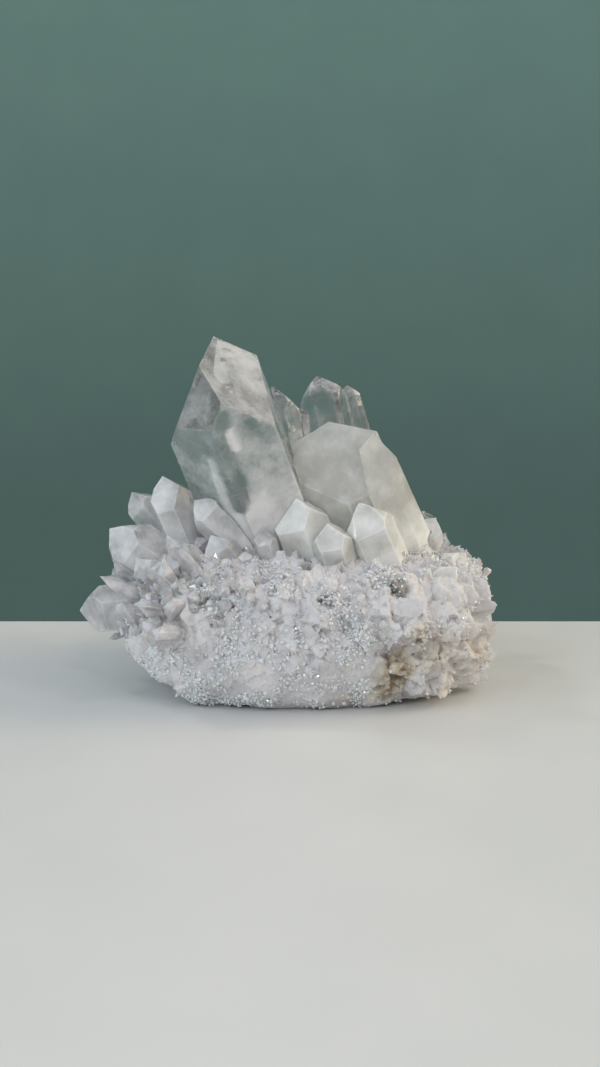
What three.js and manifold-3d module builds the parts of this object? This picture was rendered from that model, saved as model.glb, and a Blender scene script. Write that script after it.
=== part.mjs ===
// Quartz crystal cluster: a rough lump of matrix with clear and milky quartz points growing from it.
// Millimetres, +Z up. The cluster rests on its flat underside; +X is to the right, -Y is the front.

import * as THREE from "three";
import { ConvexGeometry } from "three/addons/geometries/ConvexGeometry.js";
import { SimplexNoise } from "three/addons/math/SimplexNoise.js";
import { mergeVertices } from "three/addons/utils/BufferGeometryUtils.js";
import Module from "manifold-3d";

const wasm = await Module();
wasm.setup();

// ---------------------------------------------------------------- driving dimensions

const GAP = 0.3; // clear space between two grown-together pieces
const TERMINATION_ANGLE = 51.8; // between a crystal's length and the normal of a tip face, degrees
const SIDE_TURN = 60; // from one prism face to the next, degrees
const GROWTH_CENTRE = new THREE.Vector3(2, 2, 4); // the points radiate from about here
const BURIED = 7; // length of each ring point that is inside the rock

const ROCK = {
  centre: [5, 1, 15],
  reach: { left: 42, right: 45, front: 34, back: 35, up: 18, down: 20 },
  squareness: 2.9, // 2 is an ellipsoid, more is boxier
  detail: 11, // how finely the ball is divided
  roughness: 1.5, // height of the broad bumps
  fineShare: 0.5, // height of the fine bumps as a share of the broad ones
  broadBumps: 2.2, // bumps per radius
  fineBumps: 6,
  fineShift: 5, // keeps the fine bumps out of step with the broad ones
};

// How much the usual points differ from an even form, as shares of half their width.
const UNEVEN = {
  sideLeast: 0.86,
  sideSpread: 0.28,
  smallFaceStep: 0.28,
  capSpread: 0.16,
};

// How much the ring points differ from each other: turns in degrees, lengths and widths as shares.
const RING_SCATTER = {
  azimuth: 8,
  rise: 16,
  leastLength: 0.75,
  lengthSpread: 0.5,
  leastWidth: 0.8,
  widthSpread: 0.4,
};

const SEEDS = { rock: 11, points: 40, rings: 100 };

// Rounding allowances, millimetres.
const SAME_VERTEX = 1e-4; // mesh vertices nearer than this are one
const SAME_CORNER = 0.02; // crystal corners nearer than this are one
const JUST_OUTSIDE = 1e-5; // a corner may lie this far past a plane and count as inside
const NO_CORNER = 1e-6; // three planes whose normals span less than this don't meet in a corner

// ---------------------------------------------------------------- the points that stand out

const BLOCK_AXIS = [-11, -8, 24]; // the way the two blocky points grew
const BLOCK_LENGTH = 30;

const LARGE_POINTS = [
  {
    name: "main_point",
    look: "clear",
    tip: [-16.5, -2, 84],
    root: [2, 16, 32],
    spin: 227,
    prism: [22, 23, 8, 8, 6, 13],
    caps: [10, 40, -0.4, 0.5, 12, 0],
    skew: [0, 0, 15, 0, 0, 0],
  },
  {
    name: "blocky_point",
    look: "milky",
    corners: {
      left: [2.5, -6, 59],
      top: [11, -4.5, 64],
      right: [22.5, -5.5, 62],
      lowRight: [20.5, -10, 48],
      bottom: [15.5, -10.5, 45],
      lowLeft: [2.5, -8.5, 50.5],
    },
    tipFaces: [["left", "right", "bottom"]],
    sideFaces: [
      ["left", "top"],
      ["top", "right"],
      ["right", "lowRight"],
      ["lowRight", "bottom"],
      ["bottom", "lowLeft"],
      ["lowLeft", "left"],
    ],
    axis: BLOCK_AXIS,
    length: BLOCK_LENGTH,
  },
  {
    name: "blocky_side_point",
    look: "milky",
    corners: {
      top: [21.5, -6.5, 61.5],
      upRight: [27, -5.5, 56],
      right: [27, -7, 51],
      lowRight: [26.5, -8, 48],
      low: [20, -11.5, 48],
      left: [18.5, -9, 57],
    },
    tipFaces: [["top", "right", "low"]],
    sideFaces: [
      ["top", "upRight"],
      ["upRight", "right"],
      ["right", "lowRight"],
      ["lowRight", "low"],
      ["low", "left"],
      ["left", "top"],
    ],
    axis: BLOCK_AXIS,
    length: BLOCK_LENGTH,
  },
];

// Single points, clear unless they say otherwise: where the tip is, where the root is buried, how
// thick each is and how it is turned. Each is cut back where it meets one that comes before it.
const POINTS = [
  { name: "front_step_point", look: "milky", tip: [18, -13, 45.5], root: [27, -6, 24], width: 12, spin: 280 },
  { name: "left_step_point", look: "milky", tip: [1.5, -11, 47], root: [9, -6, 27], width: 12, spin: 250 },
  { name: "front_low_point", look: "milky", tip: [10.5, -18, 41.5], root: [15, -9, 24], width: 9, spin: 265 },
  { name: "behind_left_point", tip: [-2, 6, 71], root: [4, 9, 34], width: 10, spin: 20 },
  { name: "behind_mid_point", tip: [3.5, 8, 66], root: [6, 10, 36], width: 5, spin: 50 },
  { name: "back_clear_point", tip: [9, 16, 73], root: [18, 14, 32], width: 10.5, spin: 35 },
  { name: "back_thin_point", tip: [16, 20, 70.5], root: [27, 17, 34], width: 5, spin: 10 },
  { name: "left_high_point", tip: [-28.5, -4, 50], root: [-19, -1, 26], width: 10, spin: 15 },
  { name: "left_inner_point", tip: [-20.5, -9, 45.5], root: [-2, -8, 28], width: 8, spin: 40 },
  { name: "left_back_point", tip: [-37, 6, 45], root: [-18, 4, 24], width: 8, spin: 0 },
  { name: "left_wide_point", tip: [-41, -4, 38], root: [-20, -4, 23], width: 12, spin: 25 },
  { name: "left_spear", tip: [-48.5, -6, 18.5], root: [-22, -8, 22], width: 11, spin: 10 },
  { name: "left_low_point", tip: [-37.5, -8, 8.5], root: [-22, -8, 15], width: 9, spin: 30 },
  { name: "left_small_point", tip: [-34, -12, 32], root: [-19, -13, 20], width: 6, spin: 5 },
  { name: "low_left_point", tip: [-26, -14, 36], root: [-13, -11, 20], width: 8, spin: 33 },
  { name: "front_left_point", tip: [-17, -13, 38], root: [-5, -10, 22], width: 7, spin: 22 },
  { name: "front_mid_point", tip: [-4.5, -13.5, 39.5], root: [-1, -9, 22], width: 5, spin: 22 },
  { name: "right_point", tip: [37.5, 4, 39.5], root: [29, 3, 22], width: 8, spin: 12 },
  { name: "right_knob", look: "milky", tip: [50, 0, 23], root: [36, 0, 19], width: 12, spin: 20 },
  { name: "right_shoulder_point", look: "milky", tip: [44.5, 2, 31], root: [33, 1, 20], width: 8, spin: 40 },
  { name: "right_front_point", look: "milky", tip: [41, -12, 30], root: [32, -8, 18], width: 7, spin: 5 },
];

// Smaller points that stand all round the back. Azimuth 0 is to the right and 90 to the back, rise is
// the height angle, and stand is the length outside the rock.
const RINGS = [
  { name: "back_high_point", count: 6, azimuths: [70, 132], rise: 38, stand: 14, width: 7.5 },
  { name: "back_low_point", count: 8, azimuths: [48, 168], rise: 20, stand: 11, width: 7 },
];

// Flat broken faces of the rock: a point on each and the direction it faces.
const BREAKS = [
  { at: [0, 0, 0], facing: [0, 0, -1] },
  { at: [20, 0, 0], facing: [0.11, 0, -1] },
  { at: [-19, 0, 0], facing: [-0.52, 0, -0.85] },
  { at: [0, -28, 0], facing: [0, -0.72, -0.7] },
  { at: [0, 26, 0], facing: [0, 0.6, -0.8] },
  { at: [47, 0, 10], facing: [0.98, -0.15, -0.1] },
  { at: [43, -27, 10], facing: [0.6, -0.8, -0.05] },
  { at: [36, 27, 14], facing: [0.6, 0.8, 0.1] },
  { at: [-32, -22, 10], facing: [-0.7, -0.7, -0.15] },
  { at: [0, 0, 60], facing: [0, 0, 1] },
];

// ---------------------------------------------------------------- materials

const LOOKS = {
  clear: { color: 0xd6dcda, roughness: 0.08, metalness: 0 },
  milky: { color: 0xcfcfc8, roughness: 0.25, metalness: 0 },
  rock: { color: 0xbcb8b6, roughness: 0.8, metalness: 0 },
};

function material(look) {
  return new THREE.MeshStandardMaterial(LOOKS[look]);
}

// ---------------------------------------------------------------- solids

function toSolid(geometry) {
  const bare = geometry.clone();
  bare.deleteAttribute("normal");
  bare.deleteAttribute("uv");
  const merged = mergeVertices(bare, SAME_VERTEX);
  return new wasm.Manifold(
    new wasm.Mesh({
      numProp: 3,
      vertProperties: new Float32Array(merged.attributes.position.array),
      triVerts: new Uint32Array(merged.index.array),
    }),
  );
}

function toGeometry(solid) {
  const mesh = solid.getMesh();
  const places = new Float32Array(mesh.vertProperties);
  const triangles = new Uint32Array(mesh.triVerts);
  const geometry = new THREE.BufferGeometry();
  geometry.setAttribute("position", new THREE.BufferAttribute(places, 3));
  geometry.setIndex(new THREE.BufferAttribute(triangles, 1));
  return geometry;
}

function largestPart(solid) {
  const parts = solid.decompose();
  return parts.reduce((best, part) => (part.volume() > best.volume() ? part : best));
}

function boxesMeet(a, b) {
  const boxA = a.boundingBox();
  const boxB = b.boundingBox();
  return [0, 1, 2].every((k) => boxA.min[k] < boxB.max[k] && boxB.min[k] < boxA.max[k]);
}

// A small repeatable random number generator.
function seeded(seed) {
  const factor = 1664525;
  const step = 1013904223;
  const range = 2 ** 32;
  let state = seed;
  return () => {
    state = (state * factor + step) % range;
    return state / range;
  };
}

// ---------------------------------------------------------------- crystals

// A plane is { normal, reach }: everything with normal . point <= reach is inside.
function planeThrough(normal, point) {
  return { normal, reach: normal.dot(point) };
}

function cornerOf(p, q, r) {
  const qr = new THREE.Vector3().crossVectors(q.normal, r.normal);
  const rp = new THREE.Vector3().crossVectors(r.normal, p.normal);
  const pq = new THREE.Vector3().crossVectors(p.normal, q.normal);
  const spread = p.normal.dot(qr);
  if (Math.abs(spread) < NO_CORNER) return null;
  const corner = qr.multiplyScalar(p.reach);
  corner.addScaledVector(rp, q.reach);
  corner.addScaledVector(pq, r.reach);
  return corner.divideScalar(spread);
}

// The convex body inside all the planes, each moved outwards by `growth`.
function bodyInside(planes, growth) {
  const grown = planes.map(({ normal, reach }) => ({ normal, reach: reach + growth }));
  const corners = [];
  for (let i = 0; i < grown.length; i += 1) {
    for (let j = i + 1; j < grown.length; j += 1) {
      for (let k = j + 1; k < grown.length; k += 1) {
        const corner = cornerOf(grown[i], grown[j], grown[k]);
        if (!corner) continue;
        if (grown.some(({ normal, reach }) => normal.dot(corner) > reach + JUST_OUTSIDE)) continue;
        if (corners.some((other) => other.distanceTo(corner) < SAME_CORNER)) continue;
        corners.push(corner);
      }
    }
  }
  return toSolid(new ConvexGeometry(corners));
}

const NO_SKEW = [0, 0, 0, 0, 0, 0];

// Six prism faces around the axis and six tip faces, each prism face under its tip face. `prism` and
// `caps` hold each face's distance from the tip, and `skew` turns a prism face out of its true direction.
function quartzPlanes({ tip, root, spin, prism, caps, skew = NO_SKEW }) {
  const top = new THREE.Vector3(...tip);
  const foot = new THREE.Vector3(...root);
  const axis = new THREE.Vector3().subVectors(top, foot).normalize();
  const turn = new THREE.Quaternion().setFromUnitVectors(new THREE.Vector3(0, 0, 1), axis);
  const lean = THREE.MathUtils.degToRad(TERMINATION_ANGLE);
  const planes = [planeThrough(axis.clone().negate(), foot)];
  const outward = (degrees) => {
    const azimuth = THREE.MathUtils.degToRad(degrees);
    return new THREE.Vector3(Math.cos(azimuth), Math.sin(azimuth), 0).applyQuaternion(turn);
  };
  for (let side = 0; side < 6; side += 1) {
    const direction = spin + SIDE_TURN * side;
    const flank = outward(direction + skew[side]);
    planes.push({ normal: flank, reach: flank.dot(top) + prism[side] });
    const slope = outward(direction).multiplyScalar(Math.sin(lean));
    slope.addScaledVector(axis, Math.cos(lean));
    planes.push({ normal: slope, reach: slope.dot(top) + caps[side] });
  }
  return planes;
}

// A point given by the corners of its tip: the faces between them, and the side faces that run down
// from pairs of corners along the growth direction.
function facetPlanes({ corners, tipFaces, sideFaces, axis, length }) {
  const along = new THREE.Vector3(...axis).normalize();
  const at = {};
  Object.entries(corners).forEach(([name, place]) => {
    at[name] = new THREE.Vector3(...place);
  });
  const share = 1 / Object.keys(at).length;
  const inside = new THREE.Vector3();
  Object.values(at).forEach((corner) => inside.addScaledVector(corner, share));
  const foot = inside.clone().addScaledVector(along, -length);
  inside.lerp(foot, 1 / 3);
  const facing = (edge, other, corner) => {
    const normal = new THREE.Vector3().crossVectors(edge, other).normalize();
    if (normal.dot(inside) > normal.dot(corner)) normal.negate();
    return planeThrough(normal, corner);
  };
  const planes = [planeThrough(along.clone().negate(), foot)];
  tipFaces.forEach(([a, b, c]) => {
    const edge = at[b].clone().sub(at[a]);
    const other = at[c].clone().sub(at[a]);
    planes.push(facing(edge, other, at[a]));
  });
  sideFaces.forEach(([a, b]) => {
    const edge = at[b].clone().sub(at[a]);
    planes.push(facing(edge, along, at[a]));
  });
  return planes;
}

// The usual point: three large tip faces and three small ones, slightly uneven from one to the next.
function evenForm(width, seed) {
  const random = seeded(seed);
  const half = width / 2;
  const { sideLeast, sideSpread, smallFaceStep, capSpread } = UNEVEN;
  const prism = Array.from({ length: 6 }, () => half * (sideLeast + sideSpread * random()));
  const caps = Array.from({ length: 6 }, (_, side) => {
    const step = (side % 2) * smallFaceStep;
    return half * (step + capSpread * random());
  });
  return { prism, caps };
}

// ---------------------------------------------------------------- the rock

const rockCentre = new THREE.Vector3(...ROCK.centre);

// Distance from the rock's centre to its smooth surface in a direction.
function rockReach(direction) {
  const { reach, squareness } = ROCK;
  const alongX = Math.abs(direction.x) / (direction.x < 0 ? reach.left : reach.right);
  const alongY = Math.abs(direction.y) / (direction.y < 0 ? reach.front : reach.back);
  const alongZ = Math.abs(direction.z) / (direction.z < 0 ? reach.down : reach.up);
  const sum = alongX ** squareness + alongY ** squareness + alongZ ** squareness;
  return sum ** (-1 / squareness);
}

function roughRock() {
  const { broadBumps, fineBumps, fineShift, fineShare, roughness } = ROCK;
  const ball = new THREE.IcosahedronGeometry(1, ROCK.detail);
  const noise = new SimplexNoise({ random: seeded(SEEDS.rock) });
  const place = ball.attributes.position;
  const point = new THREE.Vector3();
  for (let i = 0; i < place.count; i += 1) {
    point.fromBufferAttribute(place, i).normalize();
    const { x, y, z } = point;
    const broad = noise.noise3d(x * broadBumps, y * broadBumps, z * broadBumps);
    const fine = noise.noise3d(x * fineBumps + fineShift, y * fineBumps, z * fineBumps);
    const reach = rockReach(point) + roughness * (broad + fineShare * fine);
    point.multiplyScalar(reach).add(rockCentre);
    place.setXYZ(i, point.x, point.y, point.z);
  }
  return toSolid(ball);
}

function brokenRock() {
  const planes = BREAKS.map(({ at, facing }) => {
    const normal = new THREE.Vector3(...facing).normalize();
    return planeThrough(normal, new THREE.Vector3(...at));
  });
  return roughRock().intersect(bodyInside(planes, 0));
}

// ---------------------------------------------------------------- putting it together

function ringPoints({ name, count, azimuths, rise, stand, width }, ringNumber) {
  const random = seeded(SEEDS.rings + ringNumber);
  const scattered = (middle, spread) => THREE.MathUtils.degToRad(middle + spread * (random() - 0.5));
  return Array.from({ length: count }, (_, i) => {
    const share = i / (count - 1);
    const azimuth = scattered(THREE.MathUtils.lerp(...azimuths, share), RING_SCATTER.azimuth);
    const height = scattered(rise, RING_SCATTER.rise);
    const direction = new THREE.Vector3(
      Math.cos(azimuth) * Math.cos(height),
      Math.sin(azimuth) * Math.cos(height),
      Math.sin(height),
    );
    const surface = direction.clone().multiplyScalar(rockReach(direction)).add(rockCentre);
    const axis = surface.clone().sub(GROWTH_CENTRE).normalize();
    const length = stand * (RING_SCATTER.leastLength + RING_SCATTER.lengthSpread * random());
    return {
      name: `${name}_${i + 1}`,
      tip: surface.clone().addScaledVector(axis, length).toArray(),
      root: surface.clone().addScaledVector(axis, -BURIED).toArray(),
      width: width * (RING_SCATTER.leastWidth + RING_SCATTER.widthSpread * random()),
      spin: SIDE_TURN * random(),
    };
  });
}

function planesOf(point, number) {
  if (point.corners) return facetPlanes(point);
  if (point.prism) return quartzPlanes(point);
  return quartzPlanes({ ...point, ...evenForm(point.width, SEEDS.points + number) });
}

function growPoints(points) {
  const grown = [];
  points.forEach((point, number) => {
    const planes = planesOf(point, number);
    const cutter = bodyInside(planes, GAP);
    let solid = bodyInside(planes, 0);
    grown.filter((other) => boxesMeet(solid, other.cutter)).forEach((other) => {
      solid = solid.subtract(other.cutter);
    });
    const { name, look = "clear" } = point;
    grown.push({ name, look, cutter, solid: largestPart(solid) });
  });
  return grown;
}

function meshOf(name, look, solid) {
  const mesh = new THREE.Mesh(toGeometry(solid), material(look));
  mesh.name = name;
  return mesh;
}

const points = growPoints([...LARGE_POINTS, ...POINTS, ...RINGS.flatMap(ringPoints)]);
const rock = points.reduce((solid, { cutter }) => solid.subtract(cutter), brokenRock());

const cluster = new THREE.Group();
cluster.add(meshOf("matrix", "rock", largestPart(rock)));
points.forEach(({ name, look, solid }) => cluster.add(meshOf(name, look, solid)));

// The origin is under the middle of the whole cluster, at the height it rests on.
const box = new THREE.Box3().setFromObject(cluster);
const middle = box.getCenter(new THREE.Vector3());
cluster.position.set(-middle.x, -middle.y, -box.min.z);
cluster.updateMatrixWorld(true);

export default cluster;
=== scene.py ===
import math
import random

import bmesh
import bpy
import numpy as np
from mathutils import Euler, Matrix, Vector, kdtree, noise
from mathutils.bvhtree import BVHTree


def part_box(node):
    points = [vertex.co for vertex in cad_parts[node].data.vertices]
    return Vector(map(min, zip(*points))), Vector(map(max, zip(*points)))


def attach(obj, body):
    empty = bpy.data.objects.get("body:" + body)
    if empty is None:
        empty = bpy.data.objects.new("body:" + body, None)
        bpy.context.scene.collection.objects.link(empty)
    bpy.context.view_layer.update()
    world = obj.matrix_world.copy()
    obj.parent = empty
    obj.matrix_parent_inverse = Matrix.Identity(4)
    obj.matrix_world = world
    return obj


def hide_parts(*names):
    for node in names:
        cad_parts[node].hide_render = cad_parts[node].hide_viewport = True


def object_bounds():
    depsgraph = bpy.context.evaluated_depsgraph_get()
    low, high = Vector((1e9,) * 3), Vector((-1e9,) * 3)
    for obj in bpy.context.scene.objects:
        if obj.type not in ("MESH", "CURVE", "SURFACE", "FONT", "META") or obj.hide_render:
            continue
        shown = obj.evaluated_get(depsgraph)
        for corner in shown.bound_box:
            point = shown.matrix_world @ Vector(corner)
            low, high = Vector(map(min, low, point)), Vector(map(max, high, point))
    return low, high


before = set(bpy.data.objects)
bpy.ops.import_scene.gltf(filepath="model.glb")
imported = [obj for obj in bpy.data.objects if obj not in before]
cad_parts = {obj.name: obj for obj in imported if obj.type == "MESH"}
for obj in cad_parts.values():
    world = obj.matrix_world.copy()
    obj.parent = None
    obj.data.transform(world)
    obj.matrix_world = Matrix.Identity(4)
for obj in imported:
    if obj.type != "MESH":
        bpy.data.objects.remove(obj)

# A quartz crystal cluster on a pale table: clear and milky points, the rough rock that they grow
# from, and the crust of small crystals on it. Metres, +Z up, -Y is the front.

MM = 0.001
ROCK = "matrix"
CAD_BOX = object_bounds()

# ---------------------------------------------------------------- sizes

CAMERA_AT = Vector((3.4, -389.9, 104.0)) * MM
CAMERA_DIP = 10  # degrees that the camera looks down
LENS = 54
SENSOR = 36

TABLE_BACK = 57 * MM  # where the table ends behind the cluster
TABLE_SIZE = Vector((1.9, 0.95, 0.03))
TABLE_EDGE = 1.5 * MM
WALL_RADIUS = 1.25
WALL_HEIGHT = 0.7
WALL_HALF_ANGLE = 70  # degrees each side of straight behind
WALL_STEPS = 48
LAMP_AIM = Vector((0, 0, 0.03))  # about the middle of the cluster
ROOM_COLOUR = (0.90, 0.92, 0.95, 1)
ROOM_STRENGTH = 0.40

GROWTH_CENTRE = Vector((1, -4, 4)) * MM  # the points radiate from about here
DRUSE_CENTRE = Vector((1, -4, -8)) * MM  # the crust leans away from here

QUARTZ_IOR = 1.544
ROCK_IOR = 1.5

SAME_PLACE = 0.002 * MM  # CAD corners nearer than this are one
FLAT_ANGLE = math.radians(0.6)  # CAD triangles that meet at less than this are one face
SHARP_ANGLE = math.radians(14)  # faces that meet at more than this have an edge between them
ROUGH_SHARP_ANGLE = math.radians(40)  # the same on the rock and the table

EDGE_WIDTH = 0.16 * MM  # the narrow worn flat along each crystal edge
ACROSS_STEP = 1.5 * MM  # between the cuts that run along a crystal
STRIATION_STEP = 0.55 * MM  # between the cuts that run across it
STRIATION_WIDTH = 0.8 * MM
STRIATION_DEPTH = 0.030 * MM
STRIATED_PATCH = 9 * MM  # size of the patches where the growth lines are strong
WAVE_WIDTH = 3.5 * MM
WAVE_DEPTH = 0.045 * MM
CHIP_WIDTH = 1.6 * MM
CHIP_DEPTH = 0.22 * MM

# How cloudy a crystal is: 0 is water-clear and 1 is white.
CLEAR_VEIL = 0.1
CLOUDY_VEIL = 0.62
ROOT_VEIL = 0.7  # added towards the root
VEIL_SCATTER = 0.3  # comes and goes from place to place
VEIL_PATCH = 5 * MM
MAIN_SIDE_VEIL = 0.36  # added on the cloudy side of the main point
MAIN_CLARITY = 0.1  # how much clearer the main point is all over

# Names of the groups of clear points that are a little cloudy all over.
CLOUDY_GROUPS = ("left_", "low_left", "front_", "right_")

# The main point is cloudy on the faces that look this way and clear on its left.
MAIN_CLOUDY_SIDE = (1.0, 0.0, 0.5)

# Veils and clear windows in the main point, and one painted highlight, as lines seen from the front: x
# and z of both ends, the half width at each end, and how much cloudier the place is.
MAIN_MARKS = [
    {"ends": ((-15.0, 66.5), (-10.6, 46.0)), "widths": (1.6, 2.4), "veil_and_highlight": -0.75},
    {"ends": ((-17.6, 56.5), (-10.8, 38.0)), "widths": (0.5, 2.6), "veil_and_highlight": 0.5},
    # Painted highlight: a small white spot that stands in for a bright reflection on the main point.
    {"ends": ((-12.6, 63.0), (-11.6, 60.0)), "widths": (1.2, 1.4), "veil_and_highlight": 0.9},
    {"ends": ((-25.0, 44.0), (-21.0, 40.0)), "widths": (2.4, 3.0), "veil_and_highlight": 0.5},
]

MILKY = (
    "blocky_point",
    "blocky_side_point",
    "front_step_point",
    "left_step_point",
    "front_low_point",
    "right_knob",
    "right_shoulder_point",
    "right_front_point",
)

# ---------------------------------------------------------------- small helpers


def smooth(low, high, value):
    """0 below low, 1 above high, with a smooth rise between. high may be the lower one."""
    share = np.clip((value - low) / (high - low), 0, 1)
    return share * share * (3 - 2 * share)


def points_of(mesh):
    """The vertices of a mesh as an n by 3 array."""
    places = np.empty(len(mesh.vertices) * 3, np.float32)
    mesh.vertices.foreach_get("co", places)
    return places.reshape(-1, 3).astype(float)


def normals_of(mesh):
    """The vertex normals of a mesh as an n by 3 array."""
    facing = np.empty(len(mesh.vertices) * 3, np.float32)
    mesh.vertex_normals.foreach_get("vector", facing)
    return facing.reshape(-1, 3).astype(float)


def move_to(mesh, places):
    """Moves every vertex of a mesh to its row of an n by 3 array."""
    mesh.vertices.foreach_set("co", places.astype(np.float32).ravel())
    mesh.update()


def set_attribute(mesh, name, values):
    """Stores one number for every vertex, which the materials and the crust read by its name."""
    layer = mesh.attributes.get(name) or mesh.attributes.new(name, "FLOAT", "POINT")
    layer.data.foreach_set("value", np.asarray(values, np.float32))


def noise_at(places, size, seed=0):
    """Smooth noise from about -1 to 1 at each place, with lumps of about that size."""
    shift = Vector((seed * 7.3, seed * 3.1, seed * 5.7))
    return np.array([noise.noise(Vector(p) / size + shift) for p in places])


def near_line(places, mark):
    """1 on a line given by x and z in millimetres, falling to 0 a little outside its half width."""
    start, end = np.array(mark["ends"])
    seen = places[:, [0, 2]] / MM - start
    along = np.clip(seen @ (end - start) / np.sum((end - start) ** 2), 0, 1)
    away = np.linalg.norm(seen - along[:, None] * (end - start), axis=1)
    width = mark["widths"][0] + along * (mark["widths"][1] - mark["widths"][0])
    return smooth(1.25, 0.75, away / width)


def new_object(name, mesh):
    """Puts a mesh into the scene."""
    piece = bpy.data.objects.new(name, mesh)
    bpy.context.scene.collection.objects.link(piece)
    return piece


def place_piece(piece, finish, nodes=()):
    """Gives a finished piece its material and its place in the frame."""
    piece.data.materials.clear()
    piece.data.materials.append(finish)
    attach(piece, "root")
    if nodes:
        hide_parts(*nodes)


# ---------------------------------------------------------------- materials


class Finish:
    """A material under construction: nodes are added by short calls and joined by their sockets."""

    def __init__(self, name):
        self.material = bpy.data.materials.new(name)
        self.material.use_nodes = True
        self.tree = self.material.node_tree
        self.shader = self.tree.nodes["Principled BSDF"]
        self.places = self.add("ShaderNodeTexCoord").outputs["Object"]

    def add(self, kind, **settings):
        node = self.tree.nodes.new(kind)
        for key, value in settings.items():
            setattr(node, key, value)
        return node

    def join(self, source, target):
        self.tree.links.new(source, target)

    def constant(self, **values):
        """Sets plain numbers on the shader's own sockets."""
        for key, value in values.items():
            self.shader.inputs[key.replace("_", " ")].default_value = value

    def noise(self, size, detail, rough):
        """Noise from 0 to 1 with lumps of that size in metres."""
        node = self.add("ShaderNodeTexNoise")
        node.inputs["Scale"].default_value = 1 / size
        node.inputs["Detail"].default_value = detail
        node.inputs["Roughness"].default_value = rough
        self.join(self.places, node.inputs["Vector"])
        return node.outputs["Fac"]

    def cells(self, size):
        """Distance to the middle of the nearest cell, with cells of that size in metres."""
        node = self.add("ShaderNodeTexVoronoi", feature="F1")
        node.inputs["Scale"].default_value = 1 / size
        self.join(self.places, node.inputs["Vector"])
        return node.outputs["Distance"]

    def attribute(self, name):
        return self.add("ShaderNodeAttribute", attribute_name=name).outputs["Fac"]

    def ramp(self, value, *stops):
        """Colours along a value: each stop is (position, colour)."""
        node = self.add("ShaderNodeValToRGB")
        band = node.color_ramp
        while len(band.elements) < len(stops):
            band.elements.new(0.5)
        for element, (position, colour) in zip(band.elements, stops):
            element.position = position
            element.color = (*colour, 1)
        self.join(value, node.inputs["Fac"])
        return node.outputs["Color"]

    def range(self, value, taken, given):
        """Maps a value from the taken range onto the given one, and no further."""
        node = self.add("ShaderNodeMapRange", clamp=True)
        for key, number in zip(("From Min", "From Max", "To Min", "To Max"), taken + given):
            node.inputs[key].default_value = number
        self.join(value, node.inputs["Value"])
        return node.outputs["Result"]

    def total(self, first, *others):
        """The sum of several values."""
        for value in others:
            node = self.add("ShaderNodeMath", operation="ADD")
            self.join(first, node.inputs[0])
            self.join(value, node.inputs[1])
            first = node.outputs[0]
        return first

    def mix(self, share, first, second):
        """The first colour where the share is 0 and the second where it is 1."""
        node = self.add("ShaderNodeMix", data_type="RGBA")
        self.join(share, node.inputs["Factor"])
        for socket, value in zip((node.inputs[6], node.inputs[7]), (first, second)):
            if isinstance(value, tuple):
                socket.default_value = (*value, 1)
            else:
                self.join(value, socket)
        return node.outputs[2]

    def bump(self, *layers):
        """Fine relief: each layer is (height, depth in metres)."""
        facing = None
        for height, depth in layers:
            node = self.add("ShaderNodeBump")
            node.inputs["Strength"].default_value = 1
            node.inputs["Distance"].default_value = depth
            self.join(height, node.inputs["Height"])
            if facing:
                self.join(facing, node.inputs["Normal"])
            facing = node.outputs["Normal"]
        self.join(facing, self.shader.inputs["Normal"])


def clear_quartz():
    """Water-clear quartz that clouds over where its veil attribute is high, as at its root; it is whiter
    along its edges, partly from wear and partly as a painted highlight, and one white spot on the main
    point is a painted highlight.
    """
    made = Finish("clear_quartz")
    made.constant(IOR=QUARTZ_IOR)
    wisps = made.noise(7 * MM, detail=6, rough=0.6)
    fibres = made.noise(1.3 * MM, detail=5, rough=0.7)
    cloud_and_highlight = made.total(
        made.attribute("veil_and_highlight"),
        made.range(wisps, (0.34, 0.66), (-0.26, 0.28)),
        # Whiter along the edges: partly frosted wear and partly a painted highlight.
        made.range(made.attribute("edge"), (0.5, 1.0), (0.0, 0.14)),
        made.range(fibres, (0.36, 0.64), (-0.05, 0.05)),
    )
    clearness = made.range(cloud_and_highlight, (0.0, 1.0), (0.97, 0.12))
    made.join(clearness, made.shader.inputs["Transmission Weight"])
    tint = made.ramp(
        cloud_and_highlight,
        (0.0, (0.96, 0.97, 0.965)),
        (0.5, (0.92, 0.915, 0.91)),
        (1.0, (0.89, 0.88, 0.875)),
    )
    made.join(tint, made.shader.inputs["Base Color"])
    frost = made.range(made.noise(2.4 * MM, detail=5, rough=0.6), (0.42, 0.75), (0.0, 0.08))
    rough = made.total(made.range(cloud_and_highlight, (0.2, 1.0), (0.01, 0.13)), frost)
    made.join(rough, made.shader.inputs["Roughness"])
    grain = made.noise(0.45 * MM, detail=3, rough=0.6)
    ripple = made.noise(1.8 * MM, detail=2, rough=0.5)
    made.bump((ripple, 0.02 * MM), (grain, 0.006 * MM))
    return made.material


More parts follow.
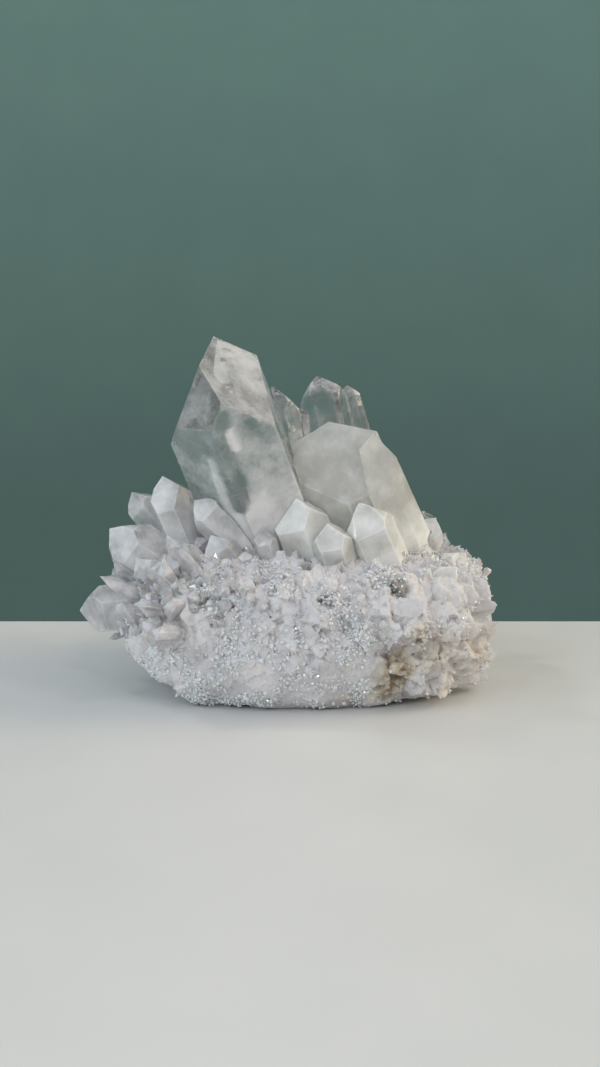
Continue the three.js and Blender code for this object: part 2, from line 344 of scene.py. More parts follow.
def milky_quartz():
    """Cloudy, faintly yellow-green quartz, with light going some way into it."""
    made = Finish("milky_quartz")
    made.constant(IOR=QUARTZ_IOR, Subsurface_Weight=0.3, Subsurface_Scale=2 * MM)
    made.shader.inputs["Subsurface Radius"].default_value = (1.0, 0.95, 0.85)
    clouds = made.noise(7 * MM, detail=6, rough=0.6)
    flecks = made.noise(1.5 * MM, detail=5, rough=0.7)
    worn_and_highlit_edge = made.attribute("edge")
    cloud_and_highlight = made.total(
        made.attribute("veil_and_highlight"),
        made.range(clouds, (0.3, 0.72), (-0.25, 0.25)),
        made.range(worn_and_highlit_edge, (0.55, 1.0), (0.0, 0.18)),
        made.range(flecks, (0.36, 0.64), (-0.04, 0.04)),
    )
    clearness = made.range(cloud_and_highlight, (0.0, 0.9), (0.6, 0.0))
    made.join(clearness, made.shader.inputs["Transmission Weight"])
    tint = made.ramp(
        clouds,
        (0.25, (0.92, 0.925, 0.86)),
        (0.5, (0.95, 0.95, 0.905)),
        (0.75, (0.97, 0.965, 0.94)),
    )
    # The edges turn whiter: partly frosted wear and partly a painted highlight.
    tint = made.mix(made.range(worn_and_highlit_edge, (0.6, 1.0), (0.0, 0.25)), tint, (1.0, 1.0, 0.99))
    made.join(tint, made.shader.inputs["Base Color"])
    rough = made.range(made.noise(3 * MM, detail=5, rough=0.6), (0.4, 0.8), (0.02, 0.12))
    made.join(rough, made.shader.inputs["Roughness"])
    grain = made.noise(0.5 * MM, detail=3, rough=0.6)
    ripple = made.noise(2.2 * MM, detail=2, rough=0.5)
    made.bump((ripple, 0.03 * MM), (grain, 0.010 * MM))
    return made.material


def matrix_rock():
    """White, sugary vein quartz with grey grain, rusty stains where its stain attribute is high, and
    painted shade that darkens its hollows.
    """
    made = Finish("matrix_rock")
    made.constant(IOR=ROCK_IOR, Subsurface_Weight=0.35, Subsurface_Scale=3 * MM)
    made.shader.inputs["Subsurface Radius"].default_value = (1.0, 0.95, 0.9)
    broad = made.noise(9 * MM, detail=5, rough=0.6)
    grain = made.noise(0.9 * MM, detail=4, rough=0.65)
    white = made.ramp(
        broad,
        (0.3, (0.82, 0.805, 0.835)),
        (0.5, (0.86, 0.84, 0.845)),
        (0.7, (0.85, 0.82, 0.82)),
    )
    rust = made.ramp(
        made.noise(2.8 * MM, detail=6, rough=0.68),
        (0.30, (0.20, 0.16, 0.13)),
        (0.40, (0.48, 0.37, 0.27)),
        (0.50, (0.72, 0.68, 0.57)),
        (0.60, (0.74, 0.60, 0.47)),
        (0.72, (0.84, 0.81, 0.77)),
    )
    patch = made.noise(4.5 * MM, detail=5, rough=0.65)
    stain = made.total(made.attribute("stain"), made.range(patch, (0.3, 0.7), (-0.35, 0.2)))
    colour = made.mix(made.range(stain, (0.15, 0.85), (0, 1)), white, rust)
    # Painted shade: the hollows are darkened towards near black.
    dark = made.range(made.attribute("pit_shade"), (0.1, 1.0), (0, 1))
    colour = made.mix(dark, colour, (0.17, 0.16, 0.13))
    made.join(colour, made.shader.inputs["Base Color"])
    rough = made.range(grain, (0.3, 0.7), (0.22, 0.6))
    made.join(rough, made.shader.inputs["Roughness"])
    clearness = made.range(broad, (0.35, 0.7), (0.22, 0.0))
    made.join(clearness, made.shader.inputs["Transmission Weight"])
    sugar = made.cells(1.1 * MM)
    made.bump((sugar, 0.11 * MM), (grain, 0.08 * MM))
    return made.material


def druse_quartz(name, clearest, cloudiest):
    """The crust of small crystals: bright, glassy faces over a white body, as clear as it is told."""
    made = Finish(name)
    made.constant(IOR=QUARTZ_IOR, Subsurface_Weight=0.25, Subsurface_Scale=1.5 * MM)
    clouds = made.noise(3.5 * MM, detail=5, rough=0.62)
    clearness = made.range(clouds, (0.35, 0.68), (clearest, cloudiest))
    made.join(clearness, made.shader.inputs["Transmission Weight"])
    tint = made.ramp(
        made.noise(11 * MM, detail=4, rough=0.6),
        (0.3, (0.90, 0.895, 0.92)),
        (0.5, (0.92, 0.91, 0.915)),
        (0.7, (0.915, 0.90, 0.895)),
    )
    made.join(tint, made.shader.inputs["Base Color"])
    made.join(made.range(clouds, (0.3, 0.7), (0.02, 0.22)), made.shader.inputs["Roughness"])
    made.bump((made.noise(0.5 * MM, detail=3, rough=0.6), 0.008 * MM))
    return made.material


def table_finish():
    """Plain pale table top."""
    made = Finish("pale_table")
    speck = made.noise(30 * MM, detail=4, rough=0.5)
    tint = made.ramp(speck, (0.3, (0.775, 0.785, 0.775)), (0.7, (0.795, 0.80, 0.79)))
    made.join(tint, made.shader.inputs["Base Color"])
    made.join(made.range(speck, (0.3, 0.7), (0.42, 0.5)), made.shader.inputs["Roughness"])
    return made.material


def wall_finish():
    """Muted green backdrop, darker low down and lighter higher up as painted shade and light."""
    made = Finish("muted_wall")
    speck = made.noise(60 * MM, detail=5, rough=0.55)
    parts = made.add("ShaderNodeSeparateXYZ")
    made.join(made.places, parts.inputs[0])
    # Painted shade and light: the backdrop is darker at the bottom and lighter towards the top.
    low = made.ramp(speck, (0.3, (0.118, 0.205, 0.187)), (0.7, (0.130, 0.222, 0.203)))
    high = made.ramp(speck, (0.3, (0.200, 0.345, 0.315)), (0.7, (0.218, 0.368, 0.334)))
    tint = made.mix(made.range(parts.outputs["Z"], (-0.15, 0.34), (0, 1)), low, high)
    made.join(tint, made.shader.inputs["Base Color"])
    made.join(made.range(speck, (0.3, 0.7), (0.8, 0.9)), made.shader.inputs["Roughness"])
    return made.material


# ---------------------------------------------------------------- crystals


def whole_faces(node):
    """A merged copy of a CAD crystal in which each flat face is one face."""
    shape = bmesh.new()
    shape.from_mesh(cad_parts[node].data)
    bmesh.ops.remove_doubles(shape, verts=shape.verts, dist=SAME_PLACE)
    bmesh.ops.dissolve_limit(shape, angle_limit=FLAT_ANGLE, verts=shape.verts, edges=shape.edges)
    return shape


def growth_axis(shape):
    """The direction along the prism: the one that most of the area runs beside."""
    most, parallel, square = 8, 0.3, 0.03
    faces = [(f.normal.copy(), f.calc_area()) for f in shape.faces]
    faces.sort(key=lambda item: -item[1])
    best, axis = -1, Vector((0, 0, 1))
    for i, (first, _) in enumerate(faces[:most]):
        for second, _ in faces[i + 1 : most]:
            line = first.cross(second)
            if line.length < parallel:
                continue
            line.normalize()
            beside = sum(area for normal, area in faces if abs(normal.dot(line)) < square)
            if beside > best:
                best, axis = beside, line
    middle = sum((v.co for v in shape.verts), Vector()) / len(shape.verts)
    return axis if axis.dot(middle - GROWTH_CENTRE) > 0 else -axis


def cut_rows(shape, direction, step, luck):
    """Cuts the faces into rows across a direction, unevenly spaced."""
    on_the_cut = 0.01 * MM
    heights = [v.co.dot(direction) for v in shape.verts]
    height = min(heights) + step / 2
    while height < max(heights):
        bmesh.ops.bisect_plane(
            shape,
            geom=shape.verts[:] + shape.edges[:] + shape.faces[:],
            dist=on_the_cut,
            plane_co=direction * height,
            plane_no=direction,
        )
        height += step * luck.uniform(0.6, 1.4)


def wear_edges(shape):
    """A narrow flat along every sharp edge that is long enough for one."""
    shortest = 4 * EDGE_WIDTH
    sharp = [
        e
        for e in shape.edges
        if len(e.link_faces) == 2
        and e.calc_length() > shortest
        and e.calc_face_angle_signed(0) > SHARP_ANGLE
    ]
    bmesh.ops.bevel(
        shape,
        geom=sharp,
        offset=EDGE_WIDTH,
        offset_type="OFFSET",
        segments=1,
        profile=0.5,
        affect="EDGES",
        clamp_overlap=True,
    )


def faceted_mesh(node, luck):
    """A CAD crystal with worn edges, cut into rows. Returns its mesh and its growth direction."""
    shape = whole_faces(node)
    axis = growth_axis(shape)
    wear_edges(shape)
    side = axis.orthogonal().normalized()
    cut_rows(shape, axis, STRIATION_STEP, luck)
    cut_rows(shape, side, ACROSS_STEP, luck)
    cut_rows(shape, axis.cross(side), ACROSS_STEP, luck)
    bmesh.ops.triangulate(shape, faces=shape.faces[:])
    shape.normal_update()
    mesh = bpy.data.meshes.new(node)
    shape.to_mesh(mesh)
    shape.free()
    return mesh, np.array(axis)


def surface_relief(node, number, places, facing, axis, edge):
    """How far each place is raised: growth lines on the prism, waves on the tip, chips on the edges."""
    height = places @ axis
    beside = 1 - smooth(0.1, 0.3, np.abs(facing @ axis))
    lines = np.array([noise.noise(Vector((h / STRIATION_WIDTH, number, 0.3))) for h in height])
    patches = smooth(-0.15, 0.35, noise_at(places, STRIATED_PATCH, number))
    waves = noise_at(places, WAVE_WIDTH, number + 40)
    chips = smooth(0.38, 0.6, noise_at(places, CHIP_WIDTH, number + 80))
    # The growth lines are deepest on the left side of the main point.
    deeper = 1 + 2.0 * smooth(-0.2, -0.6, facing[:, 0]) * (node == "main_point")
    relief = STRIATION_DEPTH * lines * beside * (0.35 + patches) * deeper
    relief += WAVE_DEPTH * waves * (1 - 0.6 * beside)
    relief -= CHIP_DEPTH * chips * edge
    return relief


def cloudiness_and_highlight(node, number, places, facing, axis):
    """How cloudy each place of a crystal is, from 0 to 1, with a painted highlight made as a white spot
    on the main point.
    """
    height = places @ axis
    share = (height - height.min()) / (height.max() - height.min())
    veil_and_highlight = CLOUDY_VEIL if node.startswith(CLOUDY_GROUPS) else CLEAR_VEIL
    veil_and_highlight = veil_and_highlight + ROOT_VEIL * smooth(0.62, 0.2, share)
    veil_and_highlight += VEIL_SCATTER * noise_at(places, VEIL_PATCH, number + 20)
    if node == "main_point":
        cloudy = smooth(0.1, 0.23, facing @ np.array(MAIN_CLOUDY_SIDE))
        veil_and_highlight += MAIN_SIDE_VEIL * cloudy * smooth(0.3, -0.2, facing[:, 1]) - MAIN_CLARITY
        for mark in MAIN_MARKS:
            veil_and_highlight += mark["veil_and_highlight"] * near_line(places, mark) * smooth(0.2, -0.1, facing[:, 1])
    return np.clip(veil_and_highlight, 0, 1)


def crystal(node, number):
    """A crystal with worn edges, growth lines across its prism and slow waves on its tip faces."""
    mesh, axis = faceted_mesh(node, random.Random(number))
    places, facing = points_of(mesh), normals_of(mesh)
    edge = on_an_edge(mesh)
    relief = surface_relief(node, number, places, facing, axis, edge)
    move_to(mesh, places + facing * relief[:, None])
    set_attribute(mesh, "veil_and_highlight", cloudiness_and_highlight(node, number, places, facing, axis))
    set_attribute(mesh, "edge", edge)
    mesh.shade_smooth()
    mesh.set_sharp_from_angle(angle=SHARP_ANGLE)
    return new_object(f"{node}_crystal", mesh)


def on_an_edge(mesh):
    """1 at the vertices where faces meet at more than a small angle, 0 elsewhere."""
    shape = bmesh.new()
    shape.from_mesh(mesh)
    sharp = np.zeros(len(mesh.vertices))
    for edge in shape.edges:
        if len(edge.link_faces) == 2 and edge.calc_face_angle(0) > SHARP_ANGLE:
            for vertex in edge.verts:
                sharp[vertex.index] = 1
    shape.free()
    return sharp


# ---------------------------------------------------------------- the rock

ROCK_BALL_CUTS = 7  # how often the ball that becomes the rock is subdivided
ROCK_CENTRE_HEIGHT = 15 * MM  # where its rays start from, above the underside
ROCK_NO_HIT = 10 * MM  # how far a ray reaches that finds no rock
SOCKET_RINGS = 20  # how many rings of vertices it takes to close the widest socket
MOST_STAINED = 1.2

# How many broken faces there are for the area of the rock's box, seen from above and both sides.
SHARD_CROWDING = 2.2

# Three layers of broken crystal faces, in mm: how large the faces are, how far they tilt, how far they
# rise or sink, and how strong they are on the sugary front, the glassy top and the broken right side.
SHARDS = [
    {"size": 8, "tilt": 0.40, "step": 0.7, "seed": 3, "sugary": 0.3, "glassy": 1.0, "broken": 1.2},
    {"size": 3.4, "tilt": 0.55, "step": 0.45, "seed": 5, "sugary": 0.32, "glassy": 0.9, "broken": 1.1},
    {"size": 1.5, "tilt": 0.6, "step": 0.2, "seed": 6, "sugary": 0.4, "glassy": 0.5, "broken": 0.7},
]

# Places that stand out on the rock's front, in mm: where, how wide, how deep a hollow, how stained
# and how dark the painted shade in it is.
ROCK_MARKS = [
    {"at": (26, -30, 27.5), "width": 3.2, "depth": 1.6, "stain": 0.5, "pit_shade": 0.55},
    {"at": (9, -36, 26.5), "width": 1.6, "depth": 1.2, "stain": 0.0, "pit_shade": 0.8},
    {"at": (10.5, -36, 24.5), "width": 1.2, "depth": 1.0, "stain": 0.0, "pit_shade": 0.6},
    {"at": (5, -26, 34), "width": 1.8, "depth": 1.2, "stain": 0.0, "pit_shade": 0.7},
    {"at": (25, -36, 10), "width": 5.0, "depth": 1.6, "stain": 1.0, "pit_shade": 0.1},
    {"at": (24, -36, 4), "width": 5.0, "depth": 1.2, "stain": 1.1, "pit_shade": 0.2},
    {"at": (32, -34, 16), "width": 7.0, "depth": 0.8, "stain": 0.6, "pit_shade": 0.0},
    {"at": (38, -30, 8), "width": 9.0, "depth": 0.6, "stain": 0.42, "pit_shade": 0.0},
    {"at": (44, -24, 14), "width": 9.0, "depth": 0.6, "stain": 0.3, "pit_shade": 0.0},
    {"at": (14, -33, 3), "width": 6.0, "depth": 0.6, "stain": 0.6, "pit_shade": 0.1},
]


def neighbours_of(mesh):
    """The vertex numbers at both ends of every edge, as an n by 2 array."""
    pairs = np.empty(len(mesh.edges) * 2, np.int32)
    mesh.edges.foreach_get("vertices", pairs)
    return pairs.reshape(-1, 2)


def close_sockets(reach, pairs, rings):
    """Fills the sockets that the crystals stand in: the high ground grows over them and shrinks back."""
    first, second = pairs[:, 0], pairs[:, 1]
    for step in (np.maximum, np.minimum):
        for _ in range(rings):
            before = reach.copy()
            step.at(reach, first, before[second])
            step.at(reach, second, before[first])
    return reach


def rock_skin():
    """The rock's outer surface with its sockets closed, as a ball pulled in onto the CAD solid."""
    source = bmesh.new()
    source.from_mesh(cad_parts[ROCK].data)
    hit = BVHTree.FromBMesh(source)
    low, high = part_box(ROCK)
    centre = (low + high) / 2
    centre.z = low.z + ROCK_CENTRE_HEIGHT
    ball = bmesh.new()
    bmesh.ops.create_icosphere(ball, subdivisions=ROCK_BALL_CUTS, radius=1)
    mesh = bpy.data.meshes.new("matrix_rock")
    ball.to_mesh(mesh)
    ball.free()
    rays = points_of(mesh)
    far = (high - low).length
    reach = np.empty(len(rays))
    for i, ray in enumerate(rays):
        outward = Vector(ray).normalized()
        place, _, _, _ = hit.ray_cast(centre + outward * far, -outward)
        reach[i] = (place - centre).length if place else ROCK_NO_HIT
    source.free()
    reach = close_sockets(reach, neighbours_of(mesh), SOCKET_RINGS)
    move_to(mesh, np.array(centre) + rays * reach[:, None])
    return mesh


def refine_front(mesh):
    """Halves the triangles that face the front and the top, where the surface is seen best."""
    shape = bmesh.new()
    shape.from_mesh(mesh)
    edges = set()
    for face in shape.faces:
        middle = face.calc_center_median()
        faces_front, faces_up = face.normal.y < -0.35, face.normal.z > 0.6
        off_the_table, in_front = middle.z > 2 * MM, middle.y < 0
        if (faces_front or faces_up) and off_the_table and in_front:
            edges.update(face.edges)
    bmesh.ops.subdivide_edges(shape, edges=list(edges), cuts=1, use_grid_fill=True)
    bmesh.ops.triangulate(shape, faces=[f for f in shape.faces if len(f.verts) > 3])
    shape.to_mesh(mesh)
    shape.free()


def shards(places, size, tilt, step, seed):
    """Relief of broken crystal faces: each cell is a flat tilted at random, raised or sunk by a step."""
    luck = random.Random(seed)
    extent = places.max(0) - places.min(0)
    area = extent[0] * extent[1] + extent[0] * extent[2] * 2
    count = int(SHARD_CROWDING * area / size**2)
    seeds = [Vector(places[luck.randrange(len(places))]) for _ in range(count)]
    leans = [Vector([luck.gauss(0, 1) for _ in range(3)]).normalized() * tilt for _ in seeds]
    rises = [luck.uniform(-step, step) for _ in seeds]
    tree = kdtree.KDTree(count)
    for i, place in enumerate(seeds):
        tree.insert(place, i)
    tree.balance()
    relief = np.empty(len(places))
    for i, place in enumerate(places):
        spot = Vector(place)
        _, cell, _ = tree.find(spot)
        relief[i] = rises[cell] + (spot - seeds[cell]).dot(leans[cell])
    return relief


def broken_side(places):
    """1 on the broken right side of the rock and 0 elsewhere."""
    x, _, z = places.T / MM
    return smooth(16, 28, x) * smooth(28, 18, z)


def break_up(mesh, places):
    """Moves the rock's surface into broken faces and hollows, and marks the stained places and the
    painted shade in the hollows.
    """
    facing = normals_of(mesh)
    _, y, z = places.T / MM
    broken = broken_side(places)
    sugary = smooth(20, 8, z) * (1 - broken)
    glassy = (1 - sugary) * (1 - broken)
    relief = np.zeros(len(places))
    for layer in SHARDS:
        strength = layer["sugary"] * sugary + layer["glassy"] * glassy + layer["broken"] * broken
        flats = shards(places, layer["size"] * MM, layer["tilt"], layer["step"] * MM, layer["seed"])
        relief += flats * strength
    relief += 0.8 * MM * noise_at(places, 7 * MM, 2) * broken
    stain = 0.12 * broken * smooth(-8, -20, y)
    pit_shade = np.zeros(len(places))
    for mark in ROCK_MARKS:
        away = np.linalg.norm(places / MM - np.array(mark["at"]), axis=1)
        away = np.linalg.norm((places - places[away.argmin()]) / MM, axis=1)
        near = smooth(mark["width"] * 1.3, mark["width"] * 0.3, away)
        relief -= mark["depth"] * MM * near
        stain += mark["stain"] * near
        pit_shade += mark["pit_shade"] * near
    # The relief fades out towards the underside, which stays flat.
    outward = facing * np.stack([smooth(0.0, 0.8, z)] * 2 + [smooth(0.3, 5.0, z)], axis=1)
    places = places + outward * relief[:, None]
    places[:, 2] = np.maximum(places[:, 2], 0)
    places[:, 0] = np.minimum(places[:, 0], CAD_BOX[1].x)
    move_to(mesh, places)
    set_attribute(mesh, "stain", np.clip(stain, 0, MOST_STAINED))
    set_attribute(mesh, "pit_shade", np.clip(pit_shade, 0, 1))
    return places


def druse_zones(mesh, before, after):
    """Marks where each crust grows, from the vertices before and after the surface was broken up."""
    x, y, z = before.T / MM  # so the ranges below are in mm, and those of up are from -1 to 1
    broken = broken_side(before)
    up = normals_of(mesh)[:, 2]
    patches = noise_at(after, 8 * MM, 9)
    off_base = smooth(0.1, 0.6, z)
    fine = off_base * (1 - 0.8 * broken) * smooth(-0.97, -0.8, up) * smooth(-0.3, 0.5, patches)
    medium = off_base * smooth(-0.1, 0.5, up + 0.3 * patches) * (1 - broken)
    medium *= smooth(-24, -6, y) * smooth(44, 30, x)
    medium += smooth(2, -20, x) * smooth(-0.5, 0, up) * smooth(12, 20, z) * 0.8
    medium += off_base * smooth(2, 14, y) * (1 - smooth(8, 2, z)) * 0.6
    coarse = smooth(13, 20, z) * smooth(-12, -26, x)
    coarse += 0.5 * smooth(20, 26, z) * smooth(0, 12, y) * smooth(28, 12, x)
    set_attribute(mesh, "fine", np.clip(fine, 0, 1))
    set_attribute(mesh, "medium", np.clip(medium, 0, 1))
    set_attribute(mesh, "coarse", np.clip(coarse, 0, 1) * (1 - broken))


def rock():
    """The rough lump, with broken crystal faces, sugary grain, hollows and stained places."""
    mesh = rock_skin()
    refine_front(mesh)
    before = points_of(mesh)
    after = break_up(mesh, before)
    druse_zones(mesh, before, after)
    mesh.shade_smooth()
    mesh.set_sharp_from_angle(angle=ROUGH_SHARP_ANGLE)
    return new_object("matrix_rock", mesh)


# ---------------------------------------------------------------- the crust of small crystals


CONE_PULL = (1.9, 1.9, 1.35)  # how far the waist of the cone is pulled out and up
SINK_SHARE = 0.35  # how much of a small point is buried
RUMPLE_SCALE = 900  # per metre; the corners of a small point stray on their own

# What the widths, the flatness and the lengths of the small points are multiplied by, at random.
WIDTH_CHANCE = (0.55, 1.35)
FLAT_CHANCE = (0.65, 1.0)
LENGTH_CHANCE = (0.6, 1.4)

DRUSE_INPUTS = {
    "Surface": "Geometry",
    "Zone": "String",
    "Spacing": "Float",
    "Density": "Float",
    "Width": "Float",
    "Length": "Float",
    "Radial": "Float",
    "Scatter": "Float",
    "Growth Centre": "Vector",
    "Seed": "Int",
    "Finish": "Material",
}

# The three crusts: which attribute they grow by, how far apart and how dense the points stand, how
# large they are, and how far they lean out from the centre and at random.
DRUSE = {
    "druse_fine": {
        "Zone": "fine",
        "Spacing": 0.62 * MM,
        "Density": 3.2e6,
        "Width": 0.8 * MM,
        "Length": 0.5 * MM,
        "Radial": 0.3,
        "Scatter": 0.5,
        "Seed": 11,
    },
    "druse_medium": {
        "Zone": "medium",
        "Spacing": 1.8 * MM,
        "Density": 1.8e5,
        "Width": 2.3 * MM,
        "Length": 2.8 * MM,
        "Radial": 1.2,
        "Scatter": 0.5,
        "Seed": 12,
    },
    "druse_coarse": {
        "Zone": "coarse",
        "Spacing": 3.8 * MM,
        "Density": 5e4,
        "Width": 4.6 * MM,
        "Length": 7.0 * MM,
        "Radial": 2.2,
        "Scatter": 0.4,
        "Seed": 13,
    },
}


def druse_tree():
    """Geometry nodes that stand small six-sided points on a surface, leaning out from a centre."""
    tree = bpy.data.node_groups.new("druse", "GeometryNodeTree")
    sockets = {}
    for name, kind in DRUSE_INPUTS.items():
        socket = tree.interface.new_socket(name, in_out="INPUT", socket_type="NodeSocket" + kind)
        sockets[name] = socket.identifier
    tree.interface.new_socket("Crust", in_out="OUTPUT", socket_type="NodeSocketGeometry")

    def add(kind, **settings):
        node = tree.nodes.new(kind)
        for key, value in settings.items():
            setattr(node, key, value)
        return node

    def join(source, target):
        tree.links.new(source, target)

    given = add("NodeGroupInput").outputs
    spread = add("GeometryNodeDistributePointsOnFaces", distribute_method="POISSON")
    zone = add("GeometryNodeInputNamedAttribute", data_type="FLOAT")
    join(given["Zone"], zone.inputs["Name"])
    join(given["Surface"], spread.inputs["Mesh"])
    join(given["Spacing"], spread.inputs["Distance Min"])
    join(given["Density"], spread.inputs["Density Max"])
    join(zone.outputs["Attribute"], spread.inputs["Density Factor"])
    join(given["Seed"], spread.inputs["Seed"])

    # One point: a six-sided cone in two steps whose lower step is pulled out to a prism.
    cone = add("GeometryNodeMeshCone", fill_type="NGON")
    cone.inputs["Vertices"].default_value = 6
    cone.inputs["Side Segments"].default_value = 2
    cone.inputs["Radius Top"].default_value = 0
    cone.inputs["Radius Bottom"].default_value = 0.5
    cone.inputs["Depth"].default_value = 1
    where = add("GeometryNodeInputPosition")
    split = add("ShaderNodeSeparateXYZ")
    join(where.outputs[0], split.inputs[0])
    waist = add("ShaderNodeMath", operation="COMPARE")
    join(split.outputs["Z"], waist.inputs[0])
    waist.inputs[1].default_value = 0.5
    waist.inputs[2].default_value = 0.1
    pulled = add("ShaderNodeVectorMath", operation="MULTIPLY")
    join(where.outputs[0], pulled.inputs[0])
    pulled.inputs[1].default_value = CONE_PULL
    prism = add("GeometryNodeSetPosition")
    join(cone.outputs["Mesh"], prism.inputs["Geometry"])
    join(waist.outputs[0], prism.inputs["Selection"])
    join(pulled.outputs[0], prism.inputs["Position"])

    def chance(low, high, shift, kind="FLOAT"):
        """A random number for each point. The shift keeps one set of draws apart from the next."""
        node = add("FunctionNodeRandomValue", data_type=kind)
        first, second = (0, 1) if kind == "FLOAT_VECTOR" else (2, 3)
        node.inputs[first].default_value = low
        node.inputs[second].default_value = high
        offset = add("ShaderNodeMath", operation="ADD")
        join(given["Seed"], offset.inputs[0])
        offset.inputs[1].default_value = shift
        join(offset.outputs[0], node.inputs["Seed"])
        return node.outputs[0 if kind == "FLOAT_VECTOR" else 1]

    def vector(operation, first, second, scale=None):
        """The result of one vector operation."""
        node = add("ShaderNodeVectorMath", operation=operation)
        join(first, node.inputs[0])
        if second is not None:
            join(second, node.inputs[1])
        if scale is not None:
            join(scale, node.inputs["Scale"])
        return node.outputs[0]

    at = add("GeometryNodeInputPosition").outputs[0]
    outward = vector("NORMALIZE", vector("SUBTRACT", at, given["Growth Centre"]), None)
    lean = vector("ADD", spread.outputs["Normal"], vector("SCALE", outward, None, given["Radial"]))
    stray = chance((-1, -1, -1), (1, 1, 1), 1, "FLOAT_VECTOR")
    lean = vector("ADD", lean, vector("SCALE", stray, None, given["Scatter"]))
    turn = add("ShaderNodeCombineXYZ")
    join(chance(0, math.tau, 2), turn.inputs["Z"])
    start = add("FunctionNodeEulerToRotation")
    join(turn.outputs[0], start.inputs[0])
    align = add("FunctionNodeAlignRotationToVector", axis="Z")
    join(start.outputs[0], align.inputs["Rotation"])
    join(lean, align.inputs["Vector"])

    wide = add("ShaderNodeMath", operation="MULTIPLY")
    join(given["Width"], wide.inputs[0])
    join(chance(*WIDTH_CHANCE, 3), wide.inputs[1])
    flat = add("ShaderNodeMath", operation="MULTIPLY")
    join(wide.outputs[0], flat.inputs[0])
    join(chance(*FLAT_CHANCE, 4), flat.inputs[1])
    tall = add("ShaderNodeMath", operation="MULTIPLY")
    join(given["Length"], tall.inputs[0])
    join(chance(*LENGTH_CHANCE, 5), tall.inputs[1])
    size = add("ShaderNodeCombineXYZ")
    for node, axis in ((wide, "X"), (flat, "Y"), (tall, "Z")):
        join(node.outputs[0], size.inputs[axis])

    stand = add("GeometryNodeInstanceOnPoints")
    join(spread.outputs["Points"], stand.inputs["Points"])
    join(prism.outputs["Geometry"], stand.inputs["Instance"])
    join(align.outputs[0], stand.inputs["Rotation"])
    join(size.outputs[0], stand.inputs["Scale"])
    sink = add("GeometryNodeTranslateInstances")
    join(stand.outputs[0], sink.inputs["Instances"])
    down = add("ShaderNodeCombineXYZ")
    depth = add("ShaderNodeMath", operation="MULTIPLY")
    join(given["Length"], depth.inputs[0])
    depth.inputs[1].default_value = -SINK_SHARE
    join(depth.outputs[0], down.inputs["Z"])
    join(down.outputs[0], sink.inputs["Translation"])
    whole = add("GeometryNodeRealizeInstances")
    join(sink.outputs[0], whole.inputs[0])

    # Each corner strays a little, so that no two points are alike.
    rumple = add("ShaderNodeTexNoise")
    rumple.inputs["Scale"].default_value = RUMPLE_SCALE
    rumple.inputs["Detail"].default_value = 0
    centred = add("ShaderNodeVectorMath", operation="SUBTRACT")
    join(rumple.outputs["Color"], centred.inputs[0])
    centred.inputs[1].default_value = (0.5, 0.5, 0.5)
    shift = vector("SCALE", centred.outputs[0], None, given["Width"])
    uneven = add("GeometryNodeSetPosition")
    join(whole.outputs[0], uneven.inputs["Geometry"])
    join(shift, uneven.inputs["Offset"])
    paint = add("GeometryNodeSetMaterial")
    join(given["Finish"], paint.inputs["Material"])
    join(uneven.outputs[0], paint.inputs["Geometry"])
    join(paint.outputs[0], add("NodeGroupOutput").inputs[0])
    return tree, sockets


def grow_druse(name, surface, tree, sockets, sizes):
    """Runs the druse nodes on a surface and keeps the result as a plain mesh."""
    host = new_object(name + "_host", surface.data.copy())
    grower = host.modifiers.new("druse", "NODES")
    grower.node_group = tree
    for key, value in {**sizes, "Growth Centre": DRUSE_CENTRE}.items():
        grower[sockets[key]] = value
    graph = bpy.context.evaluated_depsgraph_get()
    grown = bpy.data.meshes.new_from_object(host.evaluated_get(graph), depsgraph=graph)
    bpy.data.objects.remove(host)
    grown.name = name
    places = points_of(grown)
    places[:, 2] = np.maximum(places[:, 2], 0)
    move_to(grown, places)
    return new_object(name, grown)


# ---------------------------------------------------------------- stage


def table(finish):
    """A plain table top that ends a little way behind the cluster."""
    shape = bmesh.new()
    bmesh.ops.create_cube(shape, size=1)
    for vertex in shape.verts:
        vertex.co = (vertex.co - Vector((0, 0.5, 0.5))) * TABLE_SIZE + Vector((0, TABLE_BACK, 0))
    bmesh.ops.bevel(
        shape, geom=shape.edges[:], offset=TABLE_EDGE, segments=3, profile=0.5, affect="EDGES"
    )
    mesh = bpy.data.meshes.new("table")
    shape.to_mesh(mesh)
    shape.free()
    mesh.materials.append(finish)
    mesh.shade_smooth()
    mesh.set_sharp_from_angle(angle=ROUGH_SHARP_ANGLE)
    new_object("table", mesh)


def wall(finish):
    """A plain curved wall, far behind the table."""
    shape = bmesh.new()
    rows = []
    for height in (-WALL_HEIGHT, WALL_HEIGHT):
        row = []
        for step in range(WALL_STEPS + 1):
            angle = math.radians(90 + WALL_HALF_ANGLE * (2 * step / WALL_STEPS - 1))
            across, away = WALL_RADIUS * math.cos(angle), WALL_RADIUS * math.sin(angle)
            row.append(shape.verts.new((across, away, height)))
        rows.append(row)
    for step in range(WALL_STEPS):
        shape.faces.new((rows[0][step], rows[0][step + 1], rows[1][step + 1], rows[1][step]))
    mesh = bpy.data.meshes.new("wall")
    shape.to_mesh(mesh)
    shape.free()
    mesh.materials.append(finish)
    mesh.shade_smooth()
    new_object("wall", mesh)


def lamp(name, at, size, power, colour):
    """A rectangular lamp that points at the cluster. Its size is in metres and its power in watts."""
    light = bpy.data.lights.new(name, "AREA")
    light.shape = "RECTANGLE"
    light.size, light.size_y = size
    light.energy = power
    light.color = colour
    holder = bpy.data.objects.new(name, light)
    holder.location = at
    holder.rotation_euler = (LAMP_AIM - Vector(at)).to_track_quat("-Z", "Y").to_euler()
    bpy.context.scene.collection.objects.link(holder)


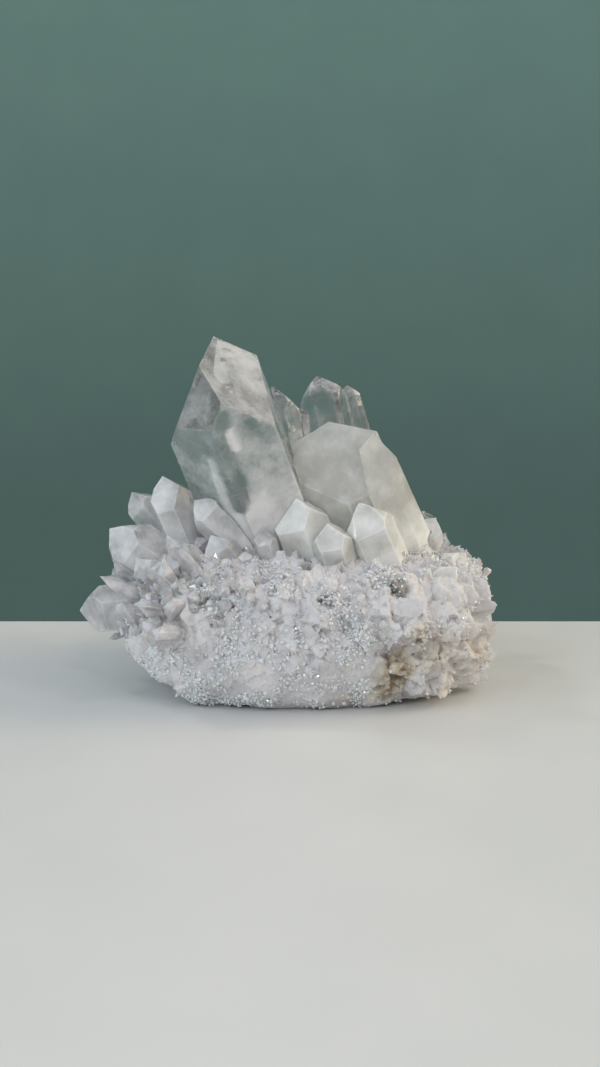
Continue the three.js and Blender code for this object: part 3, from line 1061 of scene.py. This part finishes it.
def studio():
    """Cool soft light from the left, warm light from the right and behind, and a pale room above."""
    cool, warm, white = (0.74, 0.88, 1.0), (1.0, 0.82, 0.55), (1.0, 1.0, 1.0)
    lamp("cool_window", at=(-0.75, -0.45, 0.55), size=(0.8, 0.8), power=2.8, colour=cool)
    lamp("warm_window", at=(0.85, 0.15, 0.45), size=(0.5, 0.6), power=3.8, colour=warm)
    lamp("ceiling", at=(0.1, 0.1, 1.0), size=(0.9, 0.9), power=0.6, colour=white)
    for at in ((0.25, -0.75, 0.75), (-0.45, -0.7, 0.45), (0.6, -0.4, 0.55), (-0.5, 0.3, 0.7)):
        lamp("sparkle", at=at, size=(0.07, 0.07), power=0.6, colour=white)
    world = bpy.data.worlds.new("room")
    world.use_nodes = True
    shade = world.node_tree.nodes["Background"]
    shade.inputs["Color"].default_value = ROOM_COLOUR
    shade.inputs["Strength"].default_value = ROOM_STRENGTH
    bpy.context.scene.world = world


def camera():
    """A camera in front of the cluster that looks a little way down on it."""
    view = bpy.data.cameras.new("camera")
    view.sensor_fit = "AUTO"
    view.sensor_width = SENSOR
    view.lens = LENS
    view.clip_start, view.clip_end = 0.01, 10
    holder = bpy.data.objects.new("camera", view)
    holder.location = CAMERA_AT
    holder.rotation_euler = Euler((math.radians(90 - CAMERA_DIP), 0, 0))
    bpy.context.scene.collection.objects.link(holder)
    bpy.context.scene.camera = holder


# ---------------------------------------------------------------- putting it together

camera()
studio()
table(table_finish())
wall(wall_finish())
bpy.context.scene.view_settings.view_transform = "Standard"

clear, milky = clear_quartz(), milky_quartz()
crystals = [name for name in sorted(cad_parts) if name != ROCK]
for number, name in enumerate(crystals):
    finish, slot = (milky, "milky_quartz") if name in MILKY else (clear, "clear_quartz")
    place_piece(crystal(name, number), finish, [name])

lump = rock()
sugar = druse_quartz("sugar_druse", 0.12, 0.0)
glassy = druse_quartz("glassy_druse", 0.6, 0.08)
crust, sockets = druse_tree()
for name, sizes in DRUSE.items():
    finish = sugar if name == "druse_fine" else glassy
    grown = grow_druse(name, lump, crust, sockets, {**sizes, "Finish": finish})
    place_piece(grown, finish)
place_piece(lump, matrix_rock(), [ROCK])
